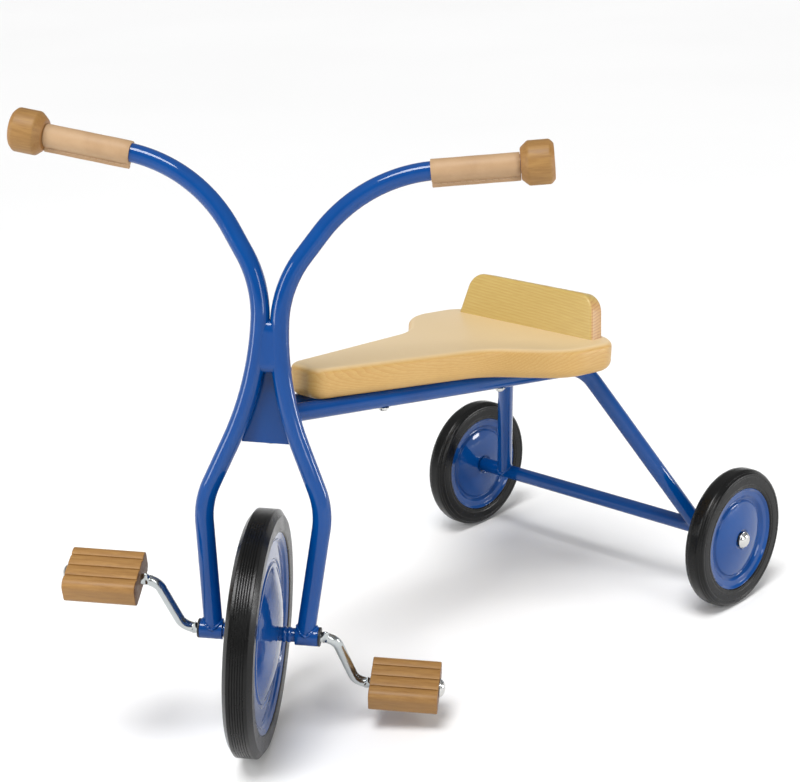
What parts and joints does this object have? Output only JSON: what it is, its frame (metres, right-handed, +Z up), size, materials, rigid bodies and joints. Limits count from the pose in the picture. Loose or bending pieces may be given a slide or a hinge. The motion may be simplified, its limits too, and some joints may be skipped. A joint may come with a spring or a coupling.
{
  "type": "children's tricycle",
  "caption": "Pedal tricycle for a small child: bent steel tube frame, steered front fork with handlebars, pressed-disc wheels on solid tyres, wooden seat, backrest and pedals.",
  "frame": {"origin": "on the ground under the middle of the whole tricycle's bounding box", "axes": "+X towards the front wheel, +Y to the rider's left, +Z up; the fork stands turned 39 degrees to the left"},
  "size_m": [0.862, 0.4736, 0.6812],
  "materials": {
    "blue_enamel": "gloss mid-blue enamel over steel",
    "black_rubber": "matt black solid rubber",
    "pine": "clear satin lacquer",
    "oiled_oak": "oiled, slightly worn",
    "natural_leather": "undyed tan hide",
    "zinc_plate": "bright zinc plating",
    "black_nylon": "moulded black nylon"
  },
  "bodies": {
    "frame": {"head_tube": "blue_enamel", "head_bush_lower": "black_nylon", "head_bush_upper": "black_nylon", "seat_rail_left": "blue_enamel", "seat_rail_right": "blue_enamel", "rear_axle_tube": "blue_enamel", "rear_axle_rod": "zinc_plate", "rear_axle_cap_left": "zinc_plate", "rear_axle_cap_right": "zinc_plate", "seat_board": "pine", "backrest": "pine", "backrest_screw_left": "zinc_plate", "backrest_screw_right": "zinc_plate", "seat_bolt_front_left": "zinc_plate", "seat_bolt_front_right": "zinc_plate", "seat_bolt_rear_left": "zinc_plate", "seat_bolt_rear_right": "zinc_plate"},
    "fork": {"fork_tube_left": "blue_enamel", "fork_tube_right": "blue_enamel", "fork_web": "blue_enamel", "steering_yoke": "blue_enamel", "kingpin": "zinc_plate", "kingpin_nut": "zinc_plate", "kingpin_washer": "zinc_plate", "axle_housing_left": "blue_enamel", "axle_housing_right": "blue_enamel", "axle_bush_left": "black_nylon", "axle_bush_right": "black_nylon", "grip_sleeve_left": "natural_leather", "grip_sleeve_right": "natural_leather", "grip_knob_left": "oiled_oak", "grip_knob_right": "oiled_oak"},
    "front_wheel": {"front_tyre": "black_rubber", "front_disc_left": "blue_enamel", "front_disc_right": "blue_enamel", "front_hub": "blue_enamel", "crank_axle": "zinc_plate", "pedal_cap_left": "zinc_plate", "pedal_cap_right": "zinc_plate"},
    "left_pedal": {"pedal_left": "oiled_oak"},
    "right_pedal": {"pedal_right": "oiled_oak"},
    "rear_wheel_left": {"rear_tyre_left": "black_rubber", "rear_disc_outer_left": "blue_enamel", "rear_disc_inner_left": "blue_enamel", "rear_bush_left": "black_nylon"},
    "rear_wheel_right": {"rear_tyre_right": "black_rubber", "rear_disc_outer_right": "blue_enamel", "rear_disc_inner_right": "blue_enamel", "rear_bush_right": "black_nylon"}
  },
  "joints": [
    {"name": "steering", "type": "hinge", "parent": "frame", "child": "fork", "pos_m": [0.23284, 0, 0.12912], "axis": [-0.1357, 0, 0.9907], "range_deg": [-109, 31]},
    {"name": "front_wheel_spin", "type": "hinge", "parent": "fork", "child": "front_wheel", "pos_m": [0.26056, 0.02266, 0.13291], "axis": [-0.6235, 0.7771, -0.0854], "continuous": true},
    {"name": "left_pedal_spin", "type": "hinge", "parent": "front_wheel", "child": "left_pedal", "pos_m": [0.13698, 0.11332, 0.04819], "axis": [-0.6235, 0.7771, -0.0854], "continuous": true},
    {"name": "right_pedal_spin", "type": "hinge", "parent": "front_wheel", "child": "right_pedal", "pos_m": [0.38415, -0.06801, 0.21764], "axis": [-0.6235, 0.7771, -0.0854], "continuous": true},
    {"name": "rear_wheel_left_spin", "type": "hinge", "parent": "frame", "child": "rear_wheel_left", "pos_m": [-0.34349, 0.215, 0.0875], "axis": [0, 1, 0], "continuous": true},
    {"name": "rear_wheel_right_spin", "type": "hinge", "parent": "frame", "child": "rear_wheel_right", "pos_m": [-0.34349, -0.215, 0.0875], "axis": [0, 1, 0], "continuous": true}
  ]
}
